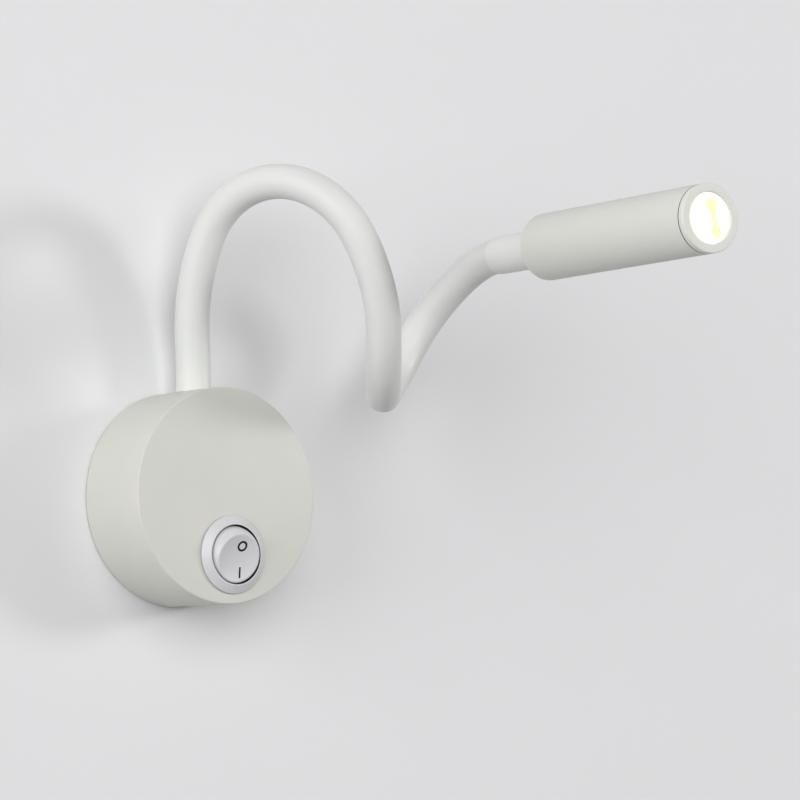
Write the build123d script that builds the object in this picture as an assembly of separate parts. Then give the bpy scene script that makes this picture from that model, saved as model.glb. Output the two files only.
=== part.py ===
from build123d import *
import os
from math import asin, cos, radians, sin, sqrt, tan

# Bedside wall reading lamp. Millimetres, +Z up, the wall is the plane y = 0 and the lamp stands
# out of it towards -Y. The origin is the middle of the cable entry, in the wall's plane.
#
# Pieces of the drum are drawn as they lie on a bench, back down: x to the right, y up the wall
# and z out of the wall. WALL stands them up. Pieces of the head are drawn along the head's own
# axis, with z from the neck's end towards the light.

# ---------------------------------------------------------------- driving dimensions

# drum
DRUM_D = 64.0
DRUM_DEPTH = 26.5
DRUM_WALL = 1.6
DRUM_FACE = 1.8
DRUM_EDGE = 0.4
INNER_CORNER = 1.0

# wall plate
PLATE_T = 1.2
PLATE_GAP = 0.5            # between the plate's edge and the drum's wall
DISH_OUTER_D = 26.0        # foot of the pressed-up middle
DISH_INNER_D = 21.0
DISH_RISE = 1.8
SLOT_SPACING = 40.0
SLOT_W = 4.4
SLOT_LENGTH = 9.0
LUG_ANGLE = 35.0           # each side of straight up
LUG_W = 6.0
LUG_T = 1.3
LUG_ROOT = 3.0             # how far the lug reaches back over the plate
LUG_BITE = 0.55            # how far it reaches into the drum's groove
GROOVE_DEPTH = 0.7
LUG_PLAY = 0.1
TAB_W = 9.0
TAB_T = 1.2
TAB_REACH = 11.0
TAB_GAP = 0.7

# cover screw, from below
SCREW_D = 3.0
SCREW_HEAD_D = 5.6
SCREW_HEAD_H = 1.3
SCREW_LENGTH = 7.0
SCREW_FROM_WALL = 6.5
SCREW_SINK = 0.15
SCREW_PLAY = 0.1
RECESS_W = 0.7
RECESS_LENGTH = 3.0
RECESS_DEPTH = 0.9

# cable grommet
GROMMET_BORE_D = 6.0
GROMMET_NECK_D = 9.0
GROMMET_FLANGE_D = 12.0
GROMMET_LIP = 1.4
GROMMET_PLAY = 0.05

# rocker switch
SWITCH_ASIDE = 2.0         # right of the drum's middle
SWITCH_MARGIN = 3.1        # between the bezel and the drum's edge, straight down
BEZEL_OVERHANG = 1.6       # of the bezel past the barrel
BEZEL_FOOT = 0.5
BEZEL_RISE = 2.0
BEZEL_LIP_W = 0.45
BARREL_D = 19.8
BARREL_WALL = 1.2
BARREL_DEPTH = 13.0
BARREL_FLOOR = 1.4
PANEL_PLAY = 0.2
WING_W = 5.0
WING_SINK = 0.9            # root of the catch inside the barrel's wall
WING_CATCH = 0.7
WING_LENGTH = 4.5
PIVOT_DEPTH = 1.2          # rocker pins, behind the drum's face
PIN_D = 2.0
PIN_PLAY = 0.05
PIN_INTO_WALL = 0.65
ROCKER_TILT = 15.0         # each side of level
ROCKER_PLAY = 0.2
ROCKER_SKIRT = 3.2
ROCKER_CROWN = 2.6         # hollow below the face starts here above the pins
ROCKER_WALL = 1.5
ROCKER_DISH = 1.2
ROCKER_RIM = 0.35
ROCKER_FLUSH = 0.1         # pressed end, below the bezel's lip
STEM_D = 4.2
STEM_BORE_D = 2.5
STEM_DROP = 4.6
STEM_ROOF = 0.6
PLUNGER_D = 2.3
PLUNGER_LENGTH = 4.8
PLUNGER_GAP = 0.3          # over the level seesaw
SPRING_WIRE_D = 0.3
SPRING_TURNS = 5
SEESAW_DEPTH = 10.3        # its pivot, behind the drum's face
SEESAW_TILT = 8.0
SEESAW_ARM = 6.0
SEESAW_FLAT = 1.5
SEESAW_RISE = 0.9
SEESAW_T = 0.5
SEESAW_W = 4.4
SEESAW_GAP = 0.1
BLADE_W = 4.0
BLADE_T = 0.8
BLADE_TIP = 19.5           # behind the drum's face
BLADE_SPACING = 6.0
BLADE_PLAY = 0.1
SOLDER_UP = 1.5            # where its lead meets a blade, from the tip
BUTTON_D = 2.4
BUTTON_H = 0.6
BUTTON_GAP = 0.15

# neck: straight up out of the drum, then a list of bends, each one arc. A bend is how far the
# arc turns and the heading that it turns towards, in a frame that the neck carries along.
NECK_D = 10.4
NECK_LENGTH = 250.0
NECK_FROM_WALL = 9.3
NECK_BENDS = (
    (9, -145),
    (24, -57.5),
    (69, -69.5),
    (65.5, -53),
    (34.5, -43),
    (60, 7.5),
    (77, 36),
    (56, 59.5),
    (32.5, 69),
)
SLEEVE_WALL = 1.3
CORE_D = 7.6
CORE_BORE_D = 4.6
KNUCKLE_GAP = 0.2          # between one stretch's ball and the next one's cup
BALL_REACH = 3.2
CORE_START = 4.7
SADDLE_GAP = 0.05
SADDLE_DROP = 1.0          # sleeve below the drum's top, before it is cut to the drum

# clamp at the neck's foot
STUD_D = 7.6
STUD_BELOW = 9.5
SPOT_FACE_D = 9.8
SPOT_FACE_DROP = 0.5
CRIMP_WALL = 0.75
CRIMP_PLAY = 0.05
CRIMP_FLOOR = 1.6
CRIMP_RISE = 5.0
WASHER_D = 13.0
WASHER_T = 2.0
NUT_FLATS = 12.0
NUT_T = 3.8
THREAD_PLAY = 0.05

# ferrule and head
FERRULE_D = 11.5
FERRULE_LENGTH = 24.0
FERRULE_CHAMFER = 0.3
FERRULE_SEAT = 4.0         # sleeve inside the ferrule
FERRULE_CRIMP = 8.0        # core past the sleeve's end
FERRULE_PLAY = 0.05
HEAD_STUD_LENGTH = 8.0
HEAD_D = 20.0
HEAD_LENGTH = 79.0
HEAD_WALL = 1.1
HEAD_REAR = 3.0
HEAD_CHAMFER = 0.7
HEAD_NUT_T = 3.5
RING_T = 2.0
RING_SEAM = 0.3
RING_SPIGOT = 5.0
RING_SPIGOT_PLAY = 0.1
RING_LIP = 0.8
RING_EDGE = 0.35
LIGHT_D = 14.9
LENS_D = 16.2
LENS_PLAY = 0.1
LENS_RIM = 1.8
LENS_FOOT_D = 6.4
LENS_CUP_D = 5.0
LENS_CUP_DEPTH = 2.0
LENS_HEIGHT = 8.6
SLUG_LENGTH = 8.0
SLUG_PLAY = 0.05
SLUG_BORE_D = 4.4
BOARD_D = 16.6
BOARD_T = 1.6
BOARD_BEHIND_RING = 4.4    # from the board's front to the ring's spigot
HOLDER_WALL = 1.2
HOLDER_WEB = 1.0
EMITTER_W = 3.5
EMITTER_T = 0.7
DOME_D = 2.8
BOARD_SCREW_SPACING = 11.2
BOARD_SCREW_D = 2.0
BOARD_SCREW_HEAD_D = 3.4
BOARD_SCREW_HEAD_H = 1.1
BOARD_SCREW_LENGTH = 5.0
TAIL_D = 1.0
TAIL_SPACING = 10.0
TAIL_HOLE_D = 1.6
TAIL_START = 3.0           # straight out of the jacket
TAIL_ENTRY = 1.0           # straight before the heat sink
TAIL_FOOT = 1.8            # bent over onto the solder pad
SOLDER_GAP = 0.05

# driver, between the switch and the drum's left wall
CASE_INSET = 9.0           # from the drum's middle to the case
CASE_GAP = 1.245           # between its outer corner and the drum's wall
CASE_H = 20.0
CASE_TOP = 11.0
CASE_DEPTH = 14.5
CASE_WALL = 1.2
CASE_CORNER = 1.5
PAD_MARGIN = 2.0
PAD_T = 0.5
CIRCUIT_T = 1.6
CIRCUIT_STEP = 1.3         # from the lid to the circuit board
FIT_PLAY = 0.1
LEG_D = 1.6
PART_GAP = 1.0             # between a component and the circuit's edge
CORE_W = 7.0
CORE_H = 8.0
CORE_T = 5.5
COIL_W = 5.0
COIL_H = 9.0
COIL_T = 2.8
CAN_D = 5.0
CAN_T = 7.0
CAN_ROUND = 0.4
CHIP_W = 4.0
CHIP_H = 5.0
CHIP_T = 1.6

# terminal block on the wall plate
BLOCK_W = 12.0
BLOCK_H = 24.0
BLOCK_T = 11.0
BLOCK_GAP = 2.2            # between its corners and the drum's wall
BLOCK_BASE_T = 7.2
TOWER_INSET = 1.0
TOWER_W = 5.6
POLE_PITCH = 8.0
POLE_HEIGHT = 4.8
POLE_BORE_D = 2.2
CLAMP_D = 2.8
CLAMP_LENGTH = 3.6
CLAMP_SPACING = 6.4
FIX_D = 2.5
FIX_HEAD_D = 4.2
FIX_HEAD_H = 1.4

# leads
LEAD_D = 1.5
NECK_LEAD_D = 3.6
LEAD_ENTRY = 2.0           # into the terminal block
NECK_ENTRY_Y = 1.0         # where leads enter the driver's case
NEUTRAL_ENTRY_Y = -5.0
SWITCHED_ENTRY = 6.5       # from the case's right side
ENTRY_LIFT = 0.3           # over the circuit board
NECK_LEAD_RISE = 12.0      # straight run below the neck
JACKET_STRIP = 8.0         # from the jacket's end to the heat sink
LEAD_OUT = 4.2             # straight run out of a hole or off a blade
EARTH_OUT = 2.2            # the same at the short earth lead
EARTH_ASIDE = 3.5          # of the earth screw, from the terminal block
EARTH_Y = 17.0
EARTH_D = 3.0
EARTH_HEAD_D = 5.4
EARTH_HEAD_H = 1.8
RING_TAG_D = 5.6
RING_TAG_T = 0.8
RING_TAG_TAIL = 4.6
RING_TAG_TAIL_W = 2.5

PAST = 1.0                 # how far a cutter runs past what it cuts

# ---------------------------------------------------------------- places worked out from them

DRUM_R = DRUM_D / 2
INNER_R = DRUM_R - DRUM_WALL
FACE_BACK = DRUM_DEPTH - DRUM_FACE
PLATE_R = INNER_R - PLATE_GAP
DISH_TOP = DISH_RISE + PLATE_T
TAB_Y = -(INNER_R - TAB_GAP)
SLEEVE_BORE_D = NECK_D - 2 * SLEEVE_WALL
BEZEL_D = BARREL_D + 2 * BEZEL_OVERHANG
BORE_R = BARREL_D / 2 - BARREL_WALL
SWITCH_DROP = DRUM_R - SWITCH_MARGIN - BEZEL_D / 2
ROCKER_R = BORE_R - ROCKER_PLAY
PLUNGER_TIP = SEESAW_DEPTH - PIVOT_DEPTH - SEESAW_T - PLUNGER_GAP
CAVITY_FLOOR = BARREL_FLOOR - BARREL_DEPTH
CRIMP_D = CORE_D + 2 * CRIMP_PLAY + 2 * CRIMP_WALL
HEAD_BORE_D = HEAD_D - 2 * HEAD_WALL
HEAD_START = FERRULE_LENGTH
RING_BACK = HEAD_START + HEAD_LENGTH - RING_T
RING_FRONT = HEAD_START + HEAD_LENGTH
SPIGOT_BACK = RING_BACK - RING_SPIGOT
BOARD_FRONT = SPIGOT_BACK - BOARD_BEHIND_RING
BOARD_BACK = BOARD_FRONT - BOARD_T
SLUG_BACK = BOARD_BACK - SLUG_LENGTH
LENS_FRONT = RING_FRONT - RING_LIP
LENS_FOOT = LENS_FRONT - LENS_HEIGHT
LEAD_END = SLUG_BACK - JACKET_STRIP
CASE_RIGHT = -CASE_INSET
CASE_LEFT = -sqrt((INNER_R - CASE_GAP) ** 2 - CASE_TOP**2)
CASE_BOTTOM = CASE_TOP - CASE_H
CASE_FRONT = FACE_BACK - PAD_T
CASE_BACK = CASE_FRONT - CASE_DEPTH
CIRCUIT_BACK = CASE_BACK + CASE_WALL + CIRCUIT_STEP
CIRCUIT_FRONT = CIRCUIT_BACK + CIRCUIT_T
BLOCK_RIGHT = sqrt((INNER_R - BLOCK_GAP) ** 2 - (BLOCK_H / 2) ** 2)
BLOCK_LEFT = BLOCK_RIGHT - BLOCK_W
BLOCK_X = (BLOCK_LEFT + BLOCK_RIGHT) / 2
EARTH_X = BLOCK_LEFT - EARTH_ASIDE
POLE_Z = PLATE_T + POLE_HEIGHT
POLE_YS = (-POLE_PITCH, 0.0, POLE_PITCH)
ENTRY_Z = CIRCUIT_FRONT + NECK_LEAD_D / 2 + ENTRY_LIFT
SOLDER_Z = DRUM_DEPTH - BLADE_TIP + SOLDER_UP

WALL = Plane(origin=(0, 0, 0), x_dir=(1, 0, 0), z_dir=(0, -1, 0)).location
SWITCH = WALL * Pos(SWITCH_ASIDE, -SWITCH_DROP, DRUM_DEPTH)
ROCKER = SWITCH * Pos(0, 0, -PIVOT_DEPTH) * Rot(ROCKER_TILT, 0, 0)
SEESAW = SWITCH * Pos(0, 0, -SEESAW_DEPTH) * Rot(-SEESAW_TILT, 0, 0)
NECK_FOOT = Pos(0, -NECK_FROM_WALL, DRUM_R)


# ---------------------------------------------------------------- forms used again and again


def turned(*outline):
    """Solid of revolution about Z from the corners (radius, height) of its half section."""
    corners = [(radius, 0, height) for radius, height in outline]
    return revolve(make_face(Polyline(*corners, close=True)), Axis.Z)


def rod(diameter, low, high):
    return Pos(0, 0, low) * extrude(Circle(diameter / 2), high - low)


def tube(outer_d, inner_d, low, high):
    return Pos(0, 0, low) * extrude(Circle(outer_d / 2) - Circle(inner_d / 2), high - low)


def block(left, right, bottom, top, back, front):
    """Box between six named sides, in bench coordinates."""
    middle = Pos((left + right) / 2, (bottom + top) / 2, (back + front) / 2)
    return middle * Box(right - left, top - bottom, front - back)


def crossways(shape):
    """Turn a shape drawn along Z so that it lies along X."""
    return Rot(0, 90, 0) * shape


def screw(diameter, length, head_d, head_h, countersunk=False):
    """Screw along Z, its head's top at 0, with a crossed recess."""
    head_side = [] if countersunk else [(head_d / 2, -head_h)]
    body = turned(
        (0, 0),
        (head_d / 2, 0),
        *head_side,
        (diameter / 2, -head_h),
        (diameter / 2, -length),
        (0, -length),
    )
    width = min(RECESS_W, head_d / 5)
    reach = min(RECESS_LENGTH, head_d * 0.6)
    depth = min(RECESS_DEPTH, head_h * 0.6)
    slot = Pos(0, 0, -depth / 2) * Box(reach, width, depth)
    return body - slot - Rot(0, 0, 90) * slot


def corner_radii(points):
    """Radius of the arc at each corner: as large as the shorter of its two runs allows."""
    radii = []
    for before, here, after in zip(points, points[1:], points[2:]):
        run_in = Vector(*here) - Vector(*before)
        run_out = Vector(*after) - Vector(*here)
        half_turn = radians(run_in.get_angle(run_out)) / 2
        radii.append(0.45 * min(run_in.length, run_out.length) / tan(half_turn))
    return radii


def lead(points, diameter):
    """Round lead along straight runs joined by tangent arcs."""
    path = FilletPolyline(*points, radius=corner_radii(points))
    start = Plane(origin=path @ 0, z_dir=path % 0)
    return sweep(start * Circle(diameter / 2), path=path)


# ---------------------------------------------------------------- drum and what fixes it


def drum_profile():
    groove_low = PLATE_T - LUG_PLAY
    groove_high = PLATE_T + LUG_T + LUG_PLAY
    groove_r = INNER_R + GROOVE_DEPTH
    return turned(
        (INNER_R, 0),
        (DRUM_R, 0),
        (DRUM_R, DRUM_DEPTH - DRUM_EDGE),
        (DRUM_R - DRUM_EDGE, DRUM_DEPTH),
        (0, DRUM_DEPTH),
        (0, FACE_BACK),
        (INNER_R - INNER_CORNER, FACE_BACK),
        (INNER_R, FACE_BACK - INNER_CORNER),
        (INNER_R, groove_high),
        (groove_r, groove_high),
        (groove_r, groove_low),
        (INNER_R, groove_low),
    )


def base_drum():
    panel_hole = rod(BARREL_D + 2 * PANEL_PLAY, FACE_BACK - PAST, DRUM_DEPTH + PAST)
    switch_hole = Pos(SWITCH_ASIDE, -SWITCH_DROP, 0) * panel_hole
    neck_axis = Pos(0, DRUM_R, NECK_FROM_WALL) * Rot(-90, 0, 0)
    neck_hole = neck_axis * rod(STUD_D + 4 * THREAD_PLAY, -2 * DRUM_WALL, PAST)
    spot_face = neck_axis * rod(SPOT_FACE_D, -SPOT_FACE_DROP, PAST)
    sink = turned(
        (0, PAST),
        (SCREW_HEAD_D / 2 + SCREW_PLAY, PAST),
        (SCREW_HEAD_D / 2 + SCREW_PLAY, 0),
        (SCREW_D / 2 + SCREW_PLAY, -SCREW_HEAD_H),
        (SCREW_D / 2 + SCREW_PLAY, -2 * DRUM_WALL),
        (0, -2 * DRUM_WALL),
    )
    screw_hole = screw_place() * sink
    return WALL * (drum_profile() - switch_hole - neck_hole - spot_face - screw_hole)


def screw_place():
    """Top of the cover screw's head, on the drum's underside."""
    return Pos(0, SCREW_SINK - DRUM_R, SCREW_FROM_WALL) * Rot(90, 0, 0)


def cover_screw():
    body = screw(SCREW_D, SCREW_LENGTH, SCREW_HEAD_D, SCREW_HEAD_H, countersunk=True)
    return WALL * screw_place() * body


def plate_lug(angle):
    low_r = PLATE_R - LUG_ROOT
    high_r = INNER_R + LUG_BITE
    bar = block(low_r, high_r + PAST, -LUG_W / 2, LUG_W / 2, PLATE_T, PLATE_T + LUG_T)
    return (Rot(0, 0, angle) * bar) & rod(2 * high_r, 0, DRUM_DEPTH)


def wall_plate():
    disc = turned(
        (GROMMET_NECK_D / 2 + GROMMET_PLAY, DISH_RISE),
        (DISH_INNER_D / 2, DISH_RISE),
        (DISH_OUTER_D / 2, 0),
        (PLATE_R, 0),
        (PLATE_R, PLATE_T),
        (DISH_OUTER_D / 2, PLATE_T),
        (DISH_INNER_D / 2, DISH_TOP),
        (GROMMET_NECK_D / 2 + GROMMET_PLAY, DISH_TOP),
    )
    slot = Rot(0, 0, 90) * SlotOverall(SLOT_LENGTH, SLOT_W)
    for side in (-1, 1):
        disc -= Pos(0, side * SLOT_SPACING / 2, -PAST) * extrude(slot, PLATE_T + 2 * PAST)
    tab = block(-TAB_W / 2, TAB_W / 2, TAB_Y, TAB_Y + TAB_T, 0, TAB_REACH)
    notch = block(-TAB_W / 2 - PAST, TAB_W / 2 + PAST, -DRUM_R, TAB_Y, -PAST, TAB_REACH)
    tab_hole = screw_place() * rod(SCREW_D + SCREW_PLAY, -SCREW_LENGTH, 0)
    earth_hole = Pos(EARTH_X, EARTH_Y, 0) * rod(EARTH_D + SCREW_PLAY, -PAST, PLATE_T + PAST)
    block_hole = Pos(BLOCK_X, POLE_PITCH / 2, 0) * rod(FIX_D + SCREW_PLAY, -PAST, PLATE_T + PAST)
    plate = disc - notch + tab - tab_hole - earth_hole - block_hole
    for side in (-1, 1):
        plate += plate_lug(90 + side * LUG_ANGLE)
    return WALL * plate


def cable_grommet():
    front = DISH_TOP + GROMMET_PLAY + GROMMET_LIP
    return WALL * turned(
        (GROMMET_BORE_D / 2, 0),
        (GROMMET_FLANGE_D / 2, 0),
        (GROMMET_FLANGE_D / 2, DISH_RISE - GROMMET_PLAY),
        (GROMMET_NECK_D / 2, DISH_RISE - GROMMET_PLAY),
        (GROMMET_NECK_D / 2, DISH_TOP + GROMMET_PLAY),
        (GROMMET_FLANGE_D / 2, DISH_TOP + GROMMET_PLAY),
        (GROMMET_FLANGE_D / 2 - GROMMET_LIP / 2, front),
        (GROMMET_BORE_D / 2, front),
    )


# ---------------------------------------------------------------- rocker switch


def switch_housing():
    lip_r = BORE_R + BEZEL_LIP_W
    shell = turned(
        (0, -BARREL_DEPTH),
        (BARREL_D / 2, -BARREL_DEPTH),
        (BARREL_D / 2, 0),
        (BEZEL_D / 2, 0),
        (BEZEL_D / 2, BEZEL_FOOT),
        (lip_r, BEZEL_RISE),
        (BORE_R, BEZEL_RISE),
        (BORE_R, CAVITY_FLOOR),
        (0, CAVITY_FLOOR),
    )
    latch_z = -DRUM_FACE - PANEL_PLAY
    wing = make_face(Polyline(
        (BARREL_D / 2 - WING_SINK, 0, latch_z),
        (BARREL_D / 2 + WING_CATCH, 0, latch_z),
        (BARREL_D / 2, 0, latch_z - WING_LENGTH),
        (BARREL_D / 2 - WING_SINK, 0, latch_z - WING_LENGTH),
        close=True,
    ))
    for turn in (0, 180):
        shell += Rot(0, 0, turn) * Pos(0, WING_W / 2, 0) * extrude(wing, WING_W, dir=(0, -1, 0))
    pin_reach = 2 * (BORE_R + PIN_INTO_WALL + PIN_PLAY)
    shell -= Pos(0, 0, -PIVOT_DEPTH) * crossways(rod(PIN_D + 2 * PIN_PLAY, -pin_reach / 2, pin_reach / 2))
    for y in (0, BLADE_SPACING):
        shell -= Pos(0, y, CAVITY_FLOOR - BARREL_FLOOR / 2) * Box(
            BLADE_W + BLADE_PLAY, BLADE_T + BLADE_PLAY, 2 * BARREL_FLOOR
        )
    return SWITCH * shell


def rim_height():
    """Height of the rocker's rim over its pins: its pressed end lies just below the bezel's lip."""
    pressed = asin((BEZEL_RISE + PIVOT_DEPTH - ROCKER_FLUSH) / ROCKER_R)
    return ROCKER_R * sin(pressed + radians(ROCKER_TILT))


def switch_rocker():
    top = rim_height()
    long = 2 * ROCKER_R
    body = rod(2 * long, -ROCKER_SKIRT, top)
    for tilt in (-ROCKER_TILT, 0, ROCKER_TILT):
        body &= Rot(tilt, 0, 0) * rod(2 * ROCKER_R, -long, long)
    body &= crossways(rod(2 * ROCKER_R, -long, long))
    half = sqrt(ROCKER_R**2 - top**2) - ROCKER_RIM
    dish_r = (half**2 + ROCKER_DISH**2) / (2 * ROCKER_DISH)
    body -= Pos(0, 0, top - ROCKER_DISH + dish_r) * Sphere(dish_r)
    inside = 2 * (ROCKER_R - ROCKER_WALL)
    hollow = rod(inside, -ROCKER_SKIRT - PAST, ROCKER_CROWN) & crossways(rod(inside, -long, long))
    stem = rod(STEM_D, -STEM_DROP, ROCKER_CROWN)
    bore = rod(STEM_BORE_D, -STEM_DROP - PAST, ROCKER_CROWN - STEM_ROOF)
    pin_end = BORE_R + PIN_INTO_WALL
    pin = crossways(rod(PIN_D, ROCKER_R - ROCKER_WALL, pin_end))
    body = body - hollow + stem - bore + pin + Rot(0, 0, 180) * pin
    return ROCKER * body


def switch_plunger():
    tip_r = PLUNGER_D / 2
    shank = rod(PLUNGER_D, tip_r - PLUNGER_TIP, PLUNGER_LENGTH - PLUNGER_TIP)
    return ROCKER * (shank + Pos(0, 0, tip_r - PLUNGER_TIP) * Sphere(tip_r))


def plunger_spring():
    low = PLUNGER_LENGTH - PLUNGER_TIP + SPRING_WIRE_D / 2 + SCREW_PLAY
    height = ROCKER_CROWN - STEM_ROOF - SPRING_WIRE_D / 2 - SCREW_PLAY - low
    radius = (STEM_BORE_D - SPRING_WIRE_D) / 2 - SCREW_PLAY
    coil = Helix(pitch=height / SPRING_TURNS, height=height, radius=radius)
    start = Plane(origin=coil @ 0, z_dir=coil % 0)
    return ROCKER * Pos(0, 0, low) * sweep(start * Circle(SPRING_WIRE_D / 2), path=coil)


def switch_seesaw():
    """Contact plate that rocks on the middle terminal: flat in the middle, both arms turned up."""
    under = [
        (-SEESAW_ARM, SEESAW_RISE),
        (-SEESAW_FLAT, 0),
        (SEESAW_FLAT, 0),
        (SEESAW_ARM, SEESAW_RISE),
    ]
    over = [(y, z + SEESAW_T) for y, z in reversed(under)]
    face = make_face(Polyline(*[(0, y, z) for y, z in under + over], close=True))
    return SEESAW * Pos(-SEESAW_W / 2, 0, 0) * extrude(face, SEESAW_W, dir=(1, 0, 0))


def switch_terminals():
    """Two spade blades: the middle one carries the seesaw, the upper one its contact button."""
    low = -BLADE_TIP
    carrier_top = -SEESAW_DEPTH - SEESAW_GAP
    tip_drop = SEESAW_ARM * sin(radians(SEESAW_TILT)) - SEESAW_RISE * cos(radians(SEESAW_TILT))
    button_top = -SEESAW_DEPTH - max(tip_drop, 0) - BUTTON_GAP - SEESAW_GAP
    blades = []
    for y, top in ((0, carrier_top), (BLADE_SPACING, button_top - BUTTON_H)):
        blade = Pos(0, y, (low + top) / 2) * Box(BLADE_W, BLADE_T, top - low)
        blade = chamfer(blade.edges().filter_by(Axis.Y).group_by(Axis.Z)[0], BLADE_W / 5)
        eye = Pos(0, y, low + BLADE_W / 2) * Rot(90, 0, 0) * rod(BLADE_W / 3, -BLADE_T, BLADE_T)
        blades.append(blade - eye)
    blades[1] += Pos(0, BLADE_SPACING, 0) * rod(BUTTON_D, button_top - BUTTON_H, button_top)
    return SWITCH * Compound(blades)


# ---------------------------------------------------------------- flexible neck


def stretch_lengths():
    """A half stretch at each end and whole ones between, so the joints are evenly spaced."""
    whole = NECK_LENGTH / (len(NECK_BENDS) - 1)
    return [whole / 2] + [whole] * (len(NECK_BENDS) - 2) + [whole / 2]


def bent(frame, length, bend, heading):
    """Frame at the far end of an arc that turns by bend towards heading."""
    radius = length / radians(bend)
    turn = Pos(radius, 0, 0) * Rot(0, bend, 0) * Pos(-radius, 0, 0)
    return frame * Rot(0, 0, heading) * turn * Rot(0, 0, -heading)


def neck_frames():
    """Frame at each station of the neck, +Z along it: the foot, the eight joints and the end."""
    frames = [NECK_FOOT]
    for length, (bend, heading) in zip(stretch_lengths(), NECK_BENDS):
        frames.append(bent(frames[-1], length, bend, heading))
    return frames


STATIONS = neck_frames()
HEAD = STATIONS[-1]
LAST = len(NECK_BENDS) - 1


def arc_body(number, outer_d, inner_d=0.0):
    """One stretch of the neck as an arc of a tube or rod, in place."""
    bend, heading = NECK_BENDS[number]
    radius = stretch_lengths()[number] / radians(bend)
    section = Circle(outer_d / 2)
    if inner_d:
        section -= Circle(inner_d / 2)
    arc = revolve(section, Axis((radius, 0, 0), (0, 1, 0)), bend)
    return STATIONS[number] * Rot(0, 0, heading) * arc


def ball_end():
    """Hollow ball zone past a joint, the sleeve's end that the next stretch's cup turns on."""
    ball = Sphere(NECK_D / 2) & rod(2 * NECK_D, 0, BALL_REACH)
    return ball - rod(SLEEVE_BORE_D, -PAST, BALL_REACH + PAST)


def neck_sleeve(number):
    sleeve = arc_body(number, NECK_D, SLEEVE_BORE_D)
    if number < LAST:
        sleeve += STATIONS[number + 1] * ball_end()
    else:
        sleeve += HEAD * tube(NECK_D, SLEEVE_BORE_D, 0, FERRULE_SEAT)
    if number > 0:
        return sleeve - STATIONS[number] * Sphere(NECK_D / 2 + KNUCKLE_GAP)
    sleeve += NECK_FOOT * tube(NECK_D, SLEEVE_BORE_D, -SADDLE_DROP, 0)
    sleeve -= NECK_FOOT * rod(CRIMP_D + 2 * CRIMP_PLAY, -2 * SADDLE_DROP, CRIMP_RISE + 2 * CRIMP_PLAY)
    return sleeve - WALL * rod(DRUM_D + 2 * SADDLE_GAP, 0, DRUM_DEPTH)


def neck_core(number):
    core = arc_body(number, CORE_D, CORE_BORE_D)
    if number < LAST:
        core += STATIONS[number + 1] * tube(CORE_D, CORE_BORE_D, 0, BALL_REACH)
    else:
        core += HEAD * tube(CORE_D, CORE_BORE_D, 0, FERRULE_SEAT + FERRULE_CRIMP)
    start = CORE_START if number else CRIMP_FLOOR + CRIMP_PLAY
    return core - STATIONS[number] * rod(2 * CORE_D, -CORE_D, start)


def neck_stud():
    """Hollow threaded stud with a cup for the core's end, which follows the core's first bend."""
    stud = NECK_FOOT * turned(
        (CORE_BORE_D / 2, -STUD_BELOW),
        (STUD_D / 2, -STUD_BELOW),
        (STUD_D / 2, -SPOT_FACE_DROP),
        (CRIMP_D / 2, -SPOT_FACE_DROP),
        (CRIMP_D / 2, CRIMP_RISE),
        (CORE_BORE_D / 2, CRIMP_RISE),
    )
    cup = arc_body(0, CORE_D + 2 * CRIMP_PLAY) - NECK_FOOT * rod(2 * CORE_D, -CORE_D, CRIMP_FLOOR)
    return stud - cup


def washer_bottom():
    return -DRUM_WALL - WASHER_T


def neck_washer():
    """Saddle washer: flat for the nut, and rounded to the drum's inner wall above."""
    disc = NECK_FOOT * tube(WASHER_D, STUD_D + 4 * THREAD_PLAY, washer_bottom(), 0)
    return disc & WALL * rod(2 * INNER_R - 2 * SADDLE_GAP, -PAST, DRUM_DEPTH)


def hex_nut(flats, bore_d, low, high):
    outline = RegularPolygon(flats / 2, 6, major_radius=False) - Circle(bore_d / 2)
    return Pos(0, 0, low) * extrude(outline, high - low)


def neck_nut():
    top = washer_bottom()
    return NECK_FOOT * hex_nut(NUT_FLATS, STUD_D + 2 * THREAD_PLAY, top - NUT_T, top)


def neck_lead():
    """Two-core lead from the driver up through the stud, the whole neck and the ferrule."""
    run = WALL * lead(
        (
            (CASE_RIGHT - CASE_WALL, NECK_ENTRY_Y, ENTRY_Z),
            (CASE_RIGHT + LEAD_OUT, NECK_ENTRY_Y, ENTRY_Z),
            (0, DRUM_R - NECK_LEAD_RISE, NECK_FROM_WALL),
            (0, DRUM_R, NECK_FROM_WALL),
        ),
        NECK_LEAD_D,
    )
    for number in range(len(NECK_BENDS)):
        run += arc_body(number, NECK_LEAD_D)
    return run + HEAD * rod(NECK_LEAD_D, 0, LEAD_END)


# ---------------------------------------------------------------- ferrule and head


def head_ferrule():
    mouth_r = NECK_D / 2 + FERRULE_PLAY
    crimp_r = CORE_D / 2 + FERRULE_PLAY
    bore_r = CORE_BORE_D / 2
    floor = FERRULE_SEAT + FERRULE_CRIMP + FERRULE_PLAY
    return HEAD * turned(
        (mouth_r, 0),
        (FERRULE_D / 2 - FERRULE_CHAMFER, 0),
        (FERRULE_D / 2, FERRULE_CHAMFER),
        (FERRULE_D / 2, FERRULE_LENGTH),
        (STUD_D / 2, FERRULE_LENGTH),
        (STUD_D / 2, FERRULE_LENGTH + HEAD_STUD_LENGTH),
        (bore_r, FERRULE_LENGTH + HEAD_STUD_LENGTH),
        (bore_r, floor),
        (crimp_r, floor),
        (crimp_r, FERRULE_SEAT + FERRULE_PLAY),
        (mouth_r, FERRULE_SEAT + FERRULE_PLAY),
    )


def head_nut():
    low = HEAD_START + HEAD_REAR
    return HEAD * hex_nut(NUT_FLATS, STUD_D + 2 * THREAD_PLAY, low, low + HEAD_NUT_T)


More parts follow.
